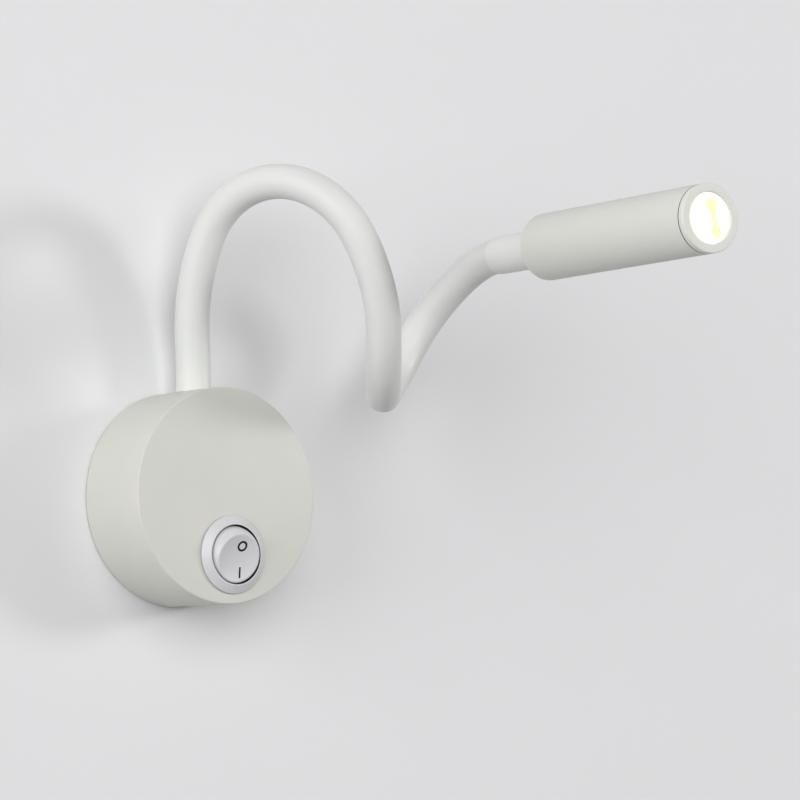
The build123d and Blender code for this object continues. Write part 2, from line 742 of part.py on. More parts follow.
def head_tube():
    front = RING_BACK - RING_SEAM
    return HEAD * turned(
        (STUD_D / 2 + 2 * THREAD_PLAY, HEAD_START),
        (HEAD_D / 2 - HEAD_CHAMFER, HEAD_START),
        (HEAD_D / 2, HEAD_START + HEAD_CHAMFER),
        (HEAD_D / 2, front),
        (HEAD_BORE_D / 2, front),
        (HEAD_BORE_D / 2, HEAD_START + HEAD_REAR),
        (STUD_D / 2 + 2 * THREAD_PLAY, HEAD_START + HEAD_REAR),
    )


def front_ring():
    seat_r = LENS_D / 2 + LENS_PLAY
    return HEAD * turned(
        (seat_r, SPIGOT_BACK),
        (HEAD_BORE_D / 2 - RING_SPIGOT_PLAY, SPIGOT_BACK),
        (HEAD_BORE_D / 2 - RING_SPIGOT_PLAY, RING_BACK),
        (HEAD_D / 2, RING_BACK),
        (HEAD_D / 2, RING_FRONT - RING_EDGE),
        (HEAD_D / 2 - RING_EDGE, RING_FRONT),
        (LIGHT_D / 2, RING_FRONT),
        (LIGHT_D / 2, LENS_FRONT),
        (seat_r, LENS_FRONT),
    )


def lens_cone_radius(height):
    """Radius of the lens's side at a height over its foot."""
    run = LENS_HEIGHT - LENS_RIM
    return LENS_FOOT_D / 2 + (LENS_D - LENS_FOOT_D) / 2 * height / run


def lens():
    return HEAD * turned(
        (0, LENS_FRONT),
        (LENS_D / 2, LENS_FRONT),
        (LENS_D / 2, LENS_FRONT - LENS_RIM),
        (LENS_FOOT_D / 2, LENS_FOOT),
        (LENS_CUP_D / 2, LENS_FOOT),
        (LENS_CUP_D / 2, LENS_FOOT + LENS_CUP_DEPTH),
        (0, LENS_FOOT + LENS_CUP_DEPTH),
    )


def lens_holder():
    """Ring that stands on the light board and carries the lens by its cone."""
    outer_r = HEAD_BORE_D / 2 - RING_SPIGOT_PLAY
    top = SPIGOT_BACK - LENS_PLAY
    web = top - HOLDER_WEB
    seat_top = lens_cone_radius(top - LENS_FOOT) + LENS_PLAY
    seat_low = lens_cone_radius(web - LENS_FOOT) + LENS_PLAY
    return HEAD * turned(
        (outer_r - HOLDER_WALL, BOARD_FRONT),
        (outer_r, BOARD_FRONT),
        (outer_r, top),
        (seat_top, top),
        (seat_low, web),
        (outer_r - HOLDER_WALL, web),
    )


def light_board():
    board = rod(BOARD_D, BOARD_BACK, BOARD_FRONT)
    for side in (-1, 1):
        board -= Pos(side * BOARD_SCREW_SPACING / 2, 0, 0) * rod(
            BOARD_SCREW_D + SCREW_PLAY, BOARD_BACK - PAST, BOARD_FRONT + PAST
        )
        board -= Pos(0, side * TAIL_SPACING / 2, 0) * rod(
            TAIL_HOLE_D, BOARD_BACK - PAST, BOARD_FRONT + PAST
        )
    return HEAD * board


def heat_sink():
    slug = tube(HEAD_BORE_D - 2 * SLUG_PLAY, SLUG_BORE_D, SLUG_BACK, BOARD_BACK)
    for side in (-1, 1):
        slug -= Pos(side * BOARD_SCREW_SPACING / 2, 0, 0) * rod(
            BOARD_SCREW_D + SCREW_PLAY, SLUG_BACK - PAST, BOARD_BACK + PAST
        )
        slug -= Pos(0, side * TAIL_SPACING / 2, 0) * rod(
            TAIL_HOLE_D, SLUG_BACK - PAST, BOARD_BACK + PAST
        )
    return HEAD * slug


def board_screws():
    length = BOARD_SCREW_LENGTH + BOARD_SCREW_HEAD_H
    one = screw(BOARD_SCREW_D, length, BOARD_SCREW_HEAD_D, BOARD_SCREW_HEAD_H)
    top = BOARD_FRONT + BOARD_SCREW_HEAD_H
    pair = [Pos(side * BOARD_SCREW_SPACING / 2, 0, top) * one for side in (-1, 1)]
    return HEAD * Compound(pair)


def light_emitter():
    base = Pos(0, 0, BOARD_FRONT + EMITTER_T / 2) * Box(EMITTER_W, EMITTER_W, EMITTER_T)
    top = BOARD_FRONT + EMITTER_T
    dome = Pos(0, 0, top) * (Sphere(DOME_D / 2) & rod(DOME_D, 0, DOME_D))
    return HEAD * (base + dome)


def light_tails():
    """The lead's two cores, from where its jacket ends to the solder pads on the board's front."""
    half_lead = NECK_LEAD_D / 4
    spread = TAIL_SPACING / 2
    pad = BOARD_FRONT + TAIL_D / 2 + SOLDER_GAP
    tails = []
    for side in (-1, 1):
        points = (
            (0, side * half_lead, LEAD_END),
            (0, side * half_lead, LEAD_END + TAIL_START),
            (0, side * spread, SLUG_BACK - TAIL_ENTRY),
            (0, side * spread, pad),
            (0, side * (spread - TAIL_FOOT), pad),
        )
        tails.append(lead(points, TAIL_D))
    return HEAD * Compound(tails)


# ---------------------------------------------------------------- driver


def driver_case():
    """Open tray, its floor stuck to the back of the drum's face."""
    outer = block(CASE_LEFT, CASE_RIGHT, CASE_BOTTOM, CASE_TOP, CASE_BACK, CASE_FRONT)
    outer = fillet(outer.edges().filter_by(Axis.Z), CASE_CORNER)
    inner = block(
        CASE_LEFT + CASE_WALL,
        CASE_RIGHT - CASE_WALL,
        CASE_BOTTOM + CASE_WALL,
        CASE_TOP - CASE_WALL,
        CASE_BACK - PAST,
        CASE_FRONT - CASE_WALL,
    )
    neck_hole = crossways(rod(NECK_LEAD_D + 2 * FIT_PLAY, -2 * CASE_WALL, PAST))
    lead_hole = rod(LEAD_D + 2 * FIT_PLAY, -2 * CASE_WALL, PAST)
    neck_entry = Pos(CASE_RIGHT, NECK_ENTRY_Y, ENTRY_Z) * neck_hole
    neutral_entry = Pos(CASE_RIGHT, NEUTRAL_ENTRY_Y, ENTRY_Z) * crossways(lead_hole)
    switched_place = Pos(CASE_RIGHT - SWITCHED_ENTRY, CASE_BOTTOM, ENTRY_Z) * Rot(90, 0, 0)
    switched_entry = switched_place * lead_hole
    return WALL * (outer - inner - neck_entry - neutral_entry - switched_entry)


def inside_case(low, high):
    """Flat rectangle that fits inside the case's walls, between two depths."""
    gap = CASE_WALL + FIT_PLAY
    return block(
        CASE_LEFT + gap,
        CASE_RIGHT - gap,
        CASE_BOTTOM + gap,
        CASE_TOP - gap,
        low,
        high,
    )


def driver_lid():
    return WALL * inside_case(CASE_BACK, CASE_BACK + CASE_WALL)


def driver_circuit():
    """Circuit board on four short legs that stand on the lid."""
    board = inside_case(CIRCUIT_BACK, CIRCUIT_FRONT)
    inset = CASE_WALL + FIT_PLAY + LEG_D / 2 + FIT_PLAY
    for x in (CASE_LEFT + inset, CASE_RIGHT - inset):
        for y in (CASE_BOTTOM + inset, CASE_TOP - inset):
            board += Pos(x, y, 0) * rod(LEG_D, CASE_BACK + CASE_WALL, CIRCUIT_BACK)
    return WALL * board


def driver_components():
    """Transformer, capacitor and chip, standing on the circuit board."""
    low = CIRCUIT_FRONT
    edge = CASE_WALL + FIT_PLAY + PART_GAP
    left = CASE_LEFT + edge
    right = CASE_RIGHT - edge
    bottom = CASE_BOTTOM + edge
    top = CASE_TOP - edge
    transformer = block(left, left + CORE_W, top - CORE_H, top, low, low + CORE_T)
    coil = Pos(left + CORE_W / 2, top - CORE_H / 2, low + CORE_T / 2) * Box(COIL_W, COIL_H, COIL_T)
    can = fillet(rod(CAN_D, 0, CAN_T).edges().group_by(Axis.Z)[-1], CAN_ROUND)
    can = Pos(left + CAN_D / 2, bottom + CAN_D / 2, low) * can
    chip = block(right - CHIP_W, right, bottom, bottom + CHIP_H, low, low + CHIP_T)
    return WALL * Compound([transformer + coil, can, chip])


def driver_pad():
    """Double-sided foam between the driver's case and the drum's face."""
    return WALL * block(
        CASE_LEFT + PAD_MARGIN,
        CASE_RIGHT - PAD_MARGIN,
        CASE_BOTTOM + PAD_MARGIN,
        CASE_TOP - PAD_MARGIN,
        CASE_FRONT,
        FACE_BACK,
    )


# ---------------------------------------------------------------- terminal block, earth and leads


def clamp_xs():
    return (BLOCK_X - CLAMP_SPACING / 2, BLOCK_X + CLAMP_SPACING / 2)


def terminal_block():
    """Three poles: a base with a tower on each, a lead bore through and two clamp screws down."""
    low = PLATE_T
    top = PLATE_T + BLOCK_T
    body = block(BLOCK_LEFT, BLOCK_RIGHT, -BLOCK_H / 2, BLOCK_H / 2, low, low + BLOCK_BASE_T)
    for y in POLE_YS:
        body += block(
            BLOCK_LEFT + TOWER_INSET,
            BLOCK_RIGHT - TOWER_INSET,
            y - TOWER_W / 2,
            y + TOWER_W / 2,
            low,
            top,
        )
    for y in POLE_YS:
        body -= Pos(BLOCK_X, y, POLE_Z) * crossways(rod(POLE_BORE_D, -BLOCK_W, BLOCK_W))
        for x in clamp_xs():
            body -= Pos(x, y, 0) * rod(CLAMP_D + SCREW_PLAY, POLE_Z, top + PAST)
    fixing = Pos(BLOCK_X, POLE_PITCH / 2, 0)
    body -= fixing * rod(FIX_D + 2 * SCREW_PLAY, 0, top)
    body -= fixing * rod(FIX_HEAD_D + 2 * SCREW_PLAY, low + BLOCK_BASE_T, top + PAST)
    return WALL * body


def clamp_screws():
    low = POLE_Z + POLE_BORE_D / 2
    top = low + CLAMP_LENGTH
    slotted = rod(CLAMP_D, low, top) - Pos(0, 0, top) * Box(CLAMP_D, RECESS_W, RECESS_DEPTH)
    places = [Pos(x, y, 0) for y in POLE_YS for x in clamp_xs()]
    return WALL * Compound([place * slotted for place in places])


def block_screw():
    length = FIX_HEAD_H + BLOCK_BASE_T + PLATE_T
    one = screw(FIX_D, length, FIX_HEAD_D, FIX_HEAD_H)
    return WALL * Pos(BLOCK_X, POLE_PITCH / 2, length) * one


def earth_screw():
    top = PLATE_T + RING_TAG_T + EARTH_HEAD_H
    one = screw(EARTH_D, top, EARTH_HEAD_D, EARTH_HEAD_H)
    return WALL * Pos(EARTH_X, EARTH_Y, top) * one


def earth_tag():
    """Ring tag under the earth screw's head, with a flat tail down to the lead."""
    ring = rod(RING_TAG_D, 0, RING_TAG_T)
    tail = block(
        -RING_TAG_TAIL_W / 2,
        RING_TAG_TAIL_W / 2,
        -RING_TAG_D / 2 - RING_TAG_TAIL,
        0,
        0,
        RING_TAG_T,
    )
    hole = rod(EARTH_D + SCREW_PLAY, -PAST, RING_TAG_T + PAST)
    return WALL * Pos(EARTH_X, EARTH_Y, PLATE_T) * (ring + tail - hole)


# ---------------------------------------------------------------- leads in the drum


def pole_run(y, straight):
    """First two points of a lead, from inside the pole at that height out of the block."""
    return ((BLOCK_LEFT + LEAD_ENTRY, y, POLE_Z), (BLOCK_LEFT - straight, y, POLE_Z))


def blade_run(rise, side):
    """First two points of a lead soldered to the left or right edge of a switch blade."""
    edge = BLADE_W / 2 + FIT_PLAY
    y = rise - SWITCH_DROP
    return (
        (SWITCH_ASIDE + side * edge, y, SOLDER_Z),
        (SWITCH_ASIDE + side * (edge + LEAD_OUT), y, SOLDER_Z),
    )


def live_lead():
    return WALL * lead((*pole_run(POLE_YS[0], LEAD_OUT), *reversed(blade_run(0, 1))), LEAD_D)


def switched_lead():
    x = CASE_RIGHT - SWITCHED_ENTRY
    into_case = ((x, CASE_BOTTOM - LEAD_OUT, ENTRY_Z), (x, CASE_BOTTOM + CASE_WALL, ENTRY_Z))
    return WALL * lead((*blade_run(BLADE_SPACING, -1), *into_case), LEAD_D)


def neutral_lead():
    into_case = (
        (CASE_RIGHT + LEAD_OUT, NEUTRAL_ENTRY_Y, ENTRY_Z),
        (CASE_RIGHT - CASE_WALL, NEUTRAL_ENTRY_Y, ENTRY_Z),
    )
    return WALL * lead((*pole_run(POLE_YS[1], LEAD_OUT), *into_case), LEAD_D)


def earth_lead():
    end = EARTH_Y - RING_TAG_D / 2 - RING_TAG_TAIL + LEAD_ENTRY
    z = PLATE_T + RING_TAG_T + LEAD_D / 2
    onto_tag = ((EARTH_X, end - EARTH_OUT, z), (EARTH_X, end, z))
    return WALL * lead((*pole_run(POLE_YS[2], EARTH_OUT), *onto_tag), LEAD_D)


# ---------------------------------------------------------------- the set of pieces

PIECES = (
    base_drum,
    wall_plate,
    cable_grommet,
    cover_screw,
    switch_housing,
    switch_rocker,
    switch_plunger,
    plunger_spring,
    switch_seesaw,
    switch_terminals,
    neck_stud,
    neck_washer,
    neck_nut,
    neck_lead,
    head_ferrule,
    head_nut,
    head_tube,
    front_ring,
    lens,
    lens_holder,
    light_board,
    light_emitter,
    light_tails,
    board_screws,
    heat_sink,
    driver_case,
    driver_lid,
    driver_circuit,
    driver_components,
    driver_pad,
    terminal_block,
    clamp_screws,
    block_screw,
    earth_screw,
    earth_tag,
    live_lead,
    switched_lead,
    neutral_lead,
    earth_lead,
)


def main():
    os.makedirs("parts", exist_ok=True)
    solids = {piece.__name__: piece() for piece in PIECES}
    for number in range(len(NECK_BENDS)):
        solids[f"neck_sleeve_{number + 1}"] = neck_sleeve(number)
        solids[f"neck_core_{number + 1}"] = neck_core(number)
    for name, solid in solids.items():
        export_step(solid, f"parts/{name}.step")


main()
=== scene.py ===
import math

import bmesh
import bpy
from mathutils import Matrix, Vector


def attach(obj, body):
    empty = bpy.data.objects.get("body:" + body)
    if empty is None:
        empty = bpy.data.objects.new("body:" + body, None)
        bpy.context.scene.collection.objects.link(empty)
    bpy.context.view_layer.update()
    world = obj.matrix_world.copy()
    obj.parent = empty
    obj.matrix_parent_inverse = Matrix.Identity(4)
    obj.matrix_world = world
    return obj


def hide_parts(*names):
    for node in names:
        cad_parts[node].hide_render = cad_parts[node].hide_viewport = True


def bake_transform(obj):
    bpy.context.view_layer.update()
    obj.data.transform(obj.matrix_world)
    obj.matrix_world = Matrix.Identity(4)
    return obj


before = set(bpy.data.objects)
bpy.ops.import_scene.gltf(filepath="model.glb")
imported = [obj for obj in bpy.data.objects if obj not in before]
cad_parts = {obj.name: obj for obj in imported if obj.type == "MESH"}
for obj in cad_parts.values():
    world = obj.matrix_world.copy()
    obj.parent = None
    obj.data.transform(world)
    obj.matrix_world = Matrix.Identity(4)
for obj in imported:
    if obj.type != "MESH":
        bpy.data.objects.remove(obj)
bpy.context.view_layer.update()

# The lamp is drawn in millimetres. Bumps, the room, the lights and the camera are in metres.
MM = 0.001

# ---------------------------------------------------------------- sizes

DRUM_R = 32.0
DRUM_DEPTH = 26.5
DRUM_WALL = 1.6
DRUM_FACE = 1.8
DRUM_ROUND = 0.45          # front edge; every ROUND is the radius of an edge
DRUM_FOOT_ROUND = 0.2
DRUM_INNER_ROUND = 1.0
GROOVE = (1.1, 2.6)        # from the wall
GROOVE_DEPTH = 0.7
SCREW_FROM_WALL = 6.5
SCREW_SINK = 0.15
SCREW_HEAD_R = 2.9
SCREW_HEAD_H = 1.3
SCREW_HOLE_R = 1.6

BARREL_R = 9.9
BARREL_DEPTH = 13.0
BARREL_FLOOR = 1.4
PANEL_HOLE_R = BARREL_R + 0.2
BEZEL_R = BARREL_R + 1.6
BEZEL_FOOT = 0.6           # lower end of its slope
BEZEL_RISE = 2.0
BEZEL_ROUND = 0.25
FOOT_GAP = 0.3
SWITCH_ASIDE = 2.0         # right of the drum's middle
SWITCH_DROP = DRUM_R - BEZEL_R - 3.1
ROCKER_R = 8.7             # of the ball that its side is part of
OPENING_R = ROCKER_R
BORE_R = OPENING_R + 0.2   # under the lip
LIP_R = OPENING_R + 0.45
LIP_HEIGHT = 0.4
LIP_ROUND = 0.15
LIP_INNER_ROUND = 0.12

PIVOT_DEPTH = 1.2          # of the rocker's pins, behind the drum's face
ROCKER_TILT = 15.0
ROCKER_TOP = 4.6           # rim and ceiling are measured from the pins
ROCKER_RIM = 0.5
ROCKER_ROUND = 0.3
ROCKER_DISH = 1.05
DISH_ROUND = 0.15
ROCKER_CEILING = 2.0
ROCKER_WALL = 1.5
ROCKER_SKIRT = 3.2
STEM_R = 2.1
STEM_BORE_R = 1.25
STEM_DROP = 4.6
PIN_R = 1.0
PIN_REACH = ROCKER_R + 0.65
OFF_MARK = (1.1, 3.5)      # middle of the O, from the face's middle
OFF_MARK_R = 1.66
OFF_MARK_INNER_R = 1.0
ON_MARK = (1.5, -4.4)      # middle of the I
ON_MARK_W = 0.6
ON_MARK_LENGTH = 3.2
PRINT_LIFT = 0.02
PRINT_T = 0.03

NECK_R = 5.2
NECK_INNER_R = NECK_R - 1.3
NECK_LENGTH = 250.0
NECK_FROM_WALL = 9.3
NECK_BENDS = (             # each stretch's bend and its heading, in degrees
    (9, -145),
    (24, -57.5),
    (69, -69.5),
    (65.5, -53),
    (34.5, -43),
    (60, 7.5),
    (77, 36),
    (56, 59.5),
    (32.5, 69),
)
TUBE_STEP = 1.2            # about the distance between a tube's rings
CORE_R = 3.8
STUD_R = 3.8               # threaded ends of the neck's two fittings
STUD_HOLE_R = STUD_R + 0.1
SPOT_FACE_R = NECK_R - 0.3   # flat in the drum's top under the neck
SPOT_FACE_DROP = 0.5
SLEEVE_SINK = 0.35         # into the drum
NECK_LEAD_R = 1.8
LEAD_FROM_CASE = (-10.2, -15.9, 1.0)
LEAD_OUT = 5.4             # straight out of the driver's case
LEAD_RISE = 12.0           # straight up into the foot of the neck
LEAD_END = 74.0            # in the head, at the light board

FERRULE_R = 5.75
FERRULE_LENGTH = 24.0
FERRULE_ROUND = 0.3
SLEEVE_SEAT = 3.9          # sleeve inside the ferrule
SLEEVE_SOCKET_R = NECK_R + 0.05
SLEEVE_SOCKET_DEPTH = SLEEVE_SEAT + 0.15
CORE_SOCKET_R = CORE_R + 0.05
CORE_SOCKET_DEPTH = SLEEVE_SOCKET_DEPTH + 8.0
LEAD_BORE_R = NECK_LEAD_R + 0.5
HEAD_STUD_LENGTH = 8.0
HEAD_R = 10.0
HEAD_LENGTH = 79.0
HEAD_BORE_R = HEAD_R - 1.1
HEAD_REAR = 3.0
HEAD_REAR_ROUND = 0.8
HEAD_FRONT_ROUND = 0.05
RING_T = 2.0
RING_SEAM = 0.3
RING_BACK_ROUND = 0.08
RING_ROUND = 0.35
RING_INNER_ROUND = 0.2
RING_LIP = 0.8
SPIGOT_R = HEAD_BORE_R - 0.1
SPIGOT_LENGTH = 5.0
LIGHT_R = 7.45
LENS_SEAT_R = LIGHT_R + 0.75

TINY = 1e-5                # shorter lengths count as nothing
NEARLY = 0.01              # faces this close to a surface count as lying on it
SHARP_ANGLE = 35.0         # edges with a larger angle stay sharp
CUT_ABOVE = 1.0            # reach of the hole cutters past both sides of the wall
CUT_BELOW = 4.0


# ---------------------------------------------------------------- places


def shift(x, y, z):
    return Matrix.Translation((x, y, z))


def turn(angle, axis):
    return Matrix.Rotation(math.radians(angle), 4, axis)


# Bench frame of the drum's pieces: x right, y up the wall, z out of it.
BENCH = Matrix(((1, 0, 0, 0), (0, 0, -1, 0), (0, 1, 0, 0), (0, 0, 0, 1)))
SWITCH = BENCH @ shift(SWITCH_ASIDE, -SWITCH_DROP, DRUM_DEPTH)
ROCKER = SWITCH @ shift(0, 0, -PIVOT_DEPTH) @ turn(ROCKER_TILT, "X")
NECK_FOOT = shift(0, -NECK_FROM_WALL, DRUM_R)


def stretch_lengths():
    whole = NECK_LENGTH / (len(NECK_BENDS) - 1)
    return [whole / 2] + [whole] * (len(NECK_BENDS) - 2) + [whole / 2]


def bent(place, length, bend, heading):
    radius = length / math.radians(bend)
    arc = shift(radius, 0, 0) @ turn(bend, "Y") @ shift(-radius, 0, 0)
    return place @ turn(heading, "Z") @ arc @ turn(-heading, "Z")


def neck_stations():
    stations = [NECK_FOOT]
    for length, (bend, heading) in zip(stretch_lengths(), NECK_BENDS):
        stations.append(bent(stations[-1], length, bend, heading))
    return stations


STATIONS = neck_stations()
HEAD = STATIONS[-1]


# ---------------------------------------------------------------- mesh making


def rounded(corners, segments=5):
    """Outline of (radius, height) corners; a third number is the radius of that corner's fillet."""
    points = []
    count = len(corners)
    for index, corner in enumerate(corners):
        here = Vector(corner[:2])
        fillet = corner[2] if len(corner) > 2 else 0
        if not fillet:
            points.append(here)
            continue
        before = (Vector(corners[index - 1][:2]) - here).normalized()
        after = (Vector(corners[(index + 1) % count][:2]) - here).normalized()
        half = before.angle(after) / 2
        setback = fillet / math.tan(half)
        centre = here + (before + after).normalized() * fillet / math.sin(half)
        first = here + before * setback - centre
        last = here + after * setback - centre
        sweep = first.angle_signed(last)
        for step in range(segments + 1):
            angle = -sweep * step / segments
            turned = Vector((
                first.x * math.cos(angle) - first.y * math.sin(angle),
                first.x * math.sin(angle) + first.y * math.cos(angle),
            ))
            points.append(centre + turned)
    return points


def circle(steps):
    """Points (x, y) round a circle of radius one."""
    angles = [2 * math.pi * step / steps for step in range(steps)]
    return [(math.cos(angle), math.sin(angle)) for angle in angles]


def smooth(bm):
    """Smooth shading that stops at sharp edges."""
    for face in bm.faces:
        face.smooth = True
    for edge in bm.edges:
        if len(edge.link_faces) == 2:
            edge.smooth = edge.calc_face_angle() < math.radians(SHARP_ANGLE)


def new_object(name, bm):
    mesh = bpy.data.meshes.new(name)
    bm.to_mesh(mesh)
    bm.free()
    obj = bpy.data.objects.new(name, mesh)
    bpy.context.scene.collection.objects.link(obj)
    return obj


def finish_mesh(name, bm):
    """Smooth object from a mesh in millimetres."""
    bmesh.ops.remove_doubles(bm, verts=bm.verts, dist=TINY)
    bmesh.ops.recalc_face_normals(bm, faces=bm.faces)
    smooth(bm)
    bmesh.ops.scale(bm, vec=(MM, MM, MM), verts=bm.verts)
    return new_object(name, bm)


def lathe(name, corners, place, steps=128):
    """Closed solid of revolution about the place's Z."""
    bm = bmesh.new()
    rings = []
    for radius, height in rounded(corners):
        if radius < TINY:
            rings.append([bm.verts.new(place @ Vector((0, 0, height)))] * steps)
        else:
            spots = [Vector((radius * x, radius * y, height)) for x, y in circle(steps)]
            rings.append([bm.verts.new(place @ spot) for spot in spots])
    for lower, upper in zip(rings, rings[1:] + rings[:1]):
        for step in range(steps):
            after = (step + 1) % steps
            face = list(dict.fromkeys((lower[step], lower[after], upper[after], upper[step])))
            if len(face) > 2:
                bm.faces.new(face)
    return finish_mesh(name, bm)


def tube_along(name, places, radius, inner=None, steps=64):
    """Tube through a row of frames, solid unless an inner radius is given."""
    bm = bmesh.new()

    def rings(size, row):
        spots = [Vector((size * x, size * y, 0)) for x, y in circle(steps)]
        return [[bm.verts.new(place @ spot) for spot in spots] for place in row]

    loops = rings(radius, places)
    if inner:
        loops += rings(inner, places[::-1])
        loops.append(loops[0])
    for lower, upper in zip(loops, loops[1:]):
        for step in range(steps):
            after = (step + 1) % steps
            bm.faces.new((lower[step], lower[after], upper[after], upper[step]))
    if not inner:
        bm.faces.new(loops[0])
        bm.faces.new(loops[-1])
    return finish_mesh(name, bm)


def cut(obj, *cutters):
    """Takes the cutters out of the object and removes them."""
    for cutter in cutters:
        modifier = obj.modifiers.new("cut", "BOOLEAN")
        modifier.operation = "DIFFERENCE"
        modifier.solver = "EXACT"
        modifier.object = cutter
        bpy.context.view_layer.update()
        depsgraph = bpy.context.evaluated_depsgraph_get()
        mesh = bpy.data.meshes.new_from_object(obj.evaluated_get(depsgraph))
        obj.modifiers.clear()
        old = obj.data
        obj.data = mesh
        bpy.data.meshes.remove(old)
        bpy.data.objects.remove(cutter)
    bm = bmesh.new()
    bm.from_mesh(obj.data)
    smooth(bm)
    bm.to_mesh(obj.data)
    bm.free()


# ---------------------------------------------------------------- materials


class Look:
    """A material and the few patterns that all of them share."""

    def __init__(self, name, color, roughness, metallic=0.0):
        self.material = bpy.data.materials.new(name)
        self.material.use_nodes = True
        self.tree = self.material.node_tree
        self.shader = self.tree.nodes["Principled BSDF"]
        self.color = color
        self.shader.inputs["Base Color"].default_value = (*color, 1)
        self.shader.inputs["Roughness"].default_value = roughness
        self.shader.inputs["Metallic"].default_value = metallic
        self.coordinates = self.add("ShaderNodeTexCoord").outputs["Object"]

    def add(self, kind):
        return self.tree.nodes.new(kind)

    def link(self, output, target):
        self.tree.links.new(output, target)

    def set(self, **values):
        for name, value in values.items():
            self.shader.inputs[name.replace("_", " ")].default_value = value
        return self

    def noise(self, scale, detail=3.0, stretch=(1, 1, 1)):
        """Noise with features about 1/scale metres across."""
        mapping = self.add("ShaderNodeMapping")
        mapping.inputs["Scale"].default_value = stretch
        self.link(self.coordinates, mapping.inputs["Vector"])
        noise = self.add("ShaderNodeTexNoise")
        noise.inputs["Scale"].default_value = scale
        noise.inputs["Detail"].default_value = detail
        self.link(mapping.outputs["Vector"], noise.inputs["Vector"])
        return noise.outputs["Fac"]

    def ranged(self, value, low, high, start=0.3, end=0.7):
        node = self.add("ShaderNodeMapRange")
        node.inputs["From Min"].default_value = start
        node.inputs["From Max"].default_value = end
        node.inputs["To Min"].default_value = low
        node.inputs["To Max"].default_value = high
        self.link(value, node.inputs["Value"])
        return node.outputs["Result"]

    def ramped(self, value, stops, target="Base Color", interpolation="LINEAR"):
        """Colours one of the shader's inputs by a value, through stops of (position, colour)."""
        node = self.add("ShaderNodeValToRGB")
        node.color_ramp.interpolation = interpolation
        elements = node.color_ramp.elements
        elements[0].position = stops[0][0]
        elements[1].position = stops[-1][0]
        for position, _ in stops[1:-1]:
            elements.new(position)
        for element, (_, color) in zip(elements, stops):
            element.color = (*color, 1)
        self.link(value, node.inputs["Fac"])
        self.link(node.outputs["Color"], self.shader.inputs[target])
        return self

    def mottled(self, other, scale):
        """Base colour that drifts between the look's own colour and another one."""
        return self.ramped(self.noise(scale), ((0.35, self.color), (0.65, other)))

    def rough(self, low, high, scale, stretch=(1, 1, 1)):
        noise = self.noise(scale, 4.0, stretch)
        self.link(self.ranged(noise, low, high), self.shader.inputs["Roughness"])
        return self

    def grained(self, scale, distance, strength=1.0, stretch=(1, 1, 1)):
        """Fine bumps up to a distance in metres."""
        node = self.add("ShaderNodeBump")
        node.inputs["Distance"].default_value = distance
        node.inputs["Strength"].default_value = strength
        self.link(self.noise(scale, 2.0, stretch), node.inputs["Height"])
        self.link(node.outputs["Normal"], self.shader.inputs["Normal"])
        return self

    def vector_math(self, operation, value, other=None):
        """Results of a vector calculation, with a fixed second vector if it takes one."""
        node = self.add("ShaderNodeVectorMath")
        node.operation = operation
        self.link(value, node.inputs[0])
        if other is not None:
            node.inputs[1].default_value = other
        return node.outputs


def powder_coat(name, color, other):
    """Sprayed and baked paint: fine orange peel, satin gloss, a faint drift of colour."""
    look = Look(name, color, 0.5).mottled(other, 90)
    look.rough(0.42, 0.56, 700)
    look.grained(1500, 0.00006, 0.35)
    return look.set(Specular_IOR_Level=0.42).material


def drum_coat():
    return powder_coat("drum_powder_coat", (0.640, 0.645, 0.590), (0.655, 0.655, 0.605))


def head_coat():
    return powder_coat("head_powder_coat", (0.655, 0.660, 0.610), (0.665, 0.665, 0.625))


def ring_coat():
    return powder_coat("ring_powder_coat", (0.700, 0.700, 0.650), (0.710, 0.710, 0.665))


def ferrule_paint():
    """Smooth white lacquer, matched to the sleeve."""
    look = Look("white_lacquer", (0.755, 0.760, 0.740), 0.4).mottled((0.765, 0.765, 0.75), 80)
    look.rough(0.36, 0.46, 700)
    return look.grained(1500, 0.00003, 0.12).set(Specular_IOR_Level=0.4).material


def silicone():
    """Smooth white silicone sleeve: soft, slightly see-through skin with a faint drag along it."""
    look = Look("white_silicone", (0.705, 0.715, 0.690), 0.45).mottled((0.715, 0.72, 0.70), 60)
    look.rough(0.38, 0.5, 500)
    look.grained(900, 0.00004, 0.2)
    look.set(Specular_IOR_Level=0.35, Sheen_Weight=0.08, Sheen_Roughness=0.4)
    look.set(Subsurface_Weight=0.12, Subsurface_Scale=0.001)
    look.shader.inputs["Subsurface Radius"].default_value = (1.0, 0.9, 0.8)
    return look.material


def switch_plastic(name, color):
    """Glossy moulded nylon with a very fine spark-eroded skin."""
    look = Look(name, color, 0.3).mottled(tuple(0.985 * part for part in color), 90)
    look.rough(0.29, 0.33, 900)
    look.grained(3200, 0.00001, 0.08)
    return look.set(Specular_IOR_Level=0.5).material


def print_ink():
    look = Look("black_print", (0.012, 0.012, 0.014), 0.55).mottled((0.02, 0.02, 0.022), 2500)
    return look.rough(0.5, 0.65, 3000).set(Specular_IOR_Level=0.2).material


def zinc_steel(name, color, stretch):
    """Plated sheet steel: cloudy grains of zinc over a faint rolling direction."""
    look = Look(name, color, 0.34, metallic=1.0).mottled(tuple(0.93 * part for part in color), 260)
    look.rough(0.32, 0.40, 500, stretch)
    look.grained(1200, 0.00002, 0.15, stretch)
    return look.material


def wound_steel():
    """Gooseneck core: round wire wound beside itself, read as fine ribs."""
    look = Look("wound_steel", (0.42, 0.42, 0.43), 0.35, metallic=1.0)
    look.mottled((0.32, 0.32, 0.33), 700)
    look.rough(0.25, 0.45, 900)
    return look.grained(1400, 0.0002, 0.6, (1, 1, 0.25)).material


def brass():
    look = Look("stamped_brass", (0.72, 0.52, 0.24), 0.3, metallic=1.0)
    look.mottled((0.60, 0.42, 0.19), 500)
    return look.rough(0.2, 0.42, 800).grained(2000, 0.00002, 0.3).material


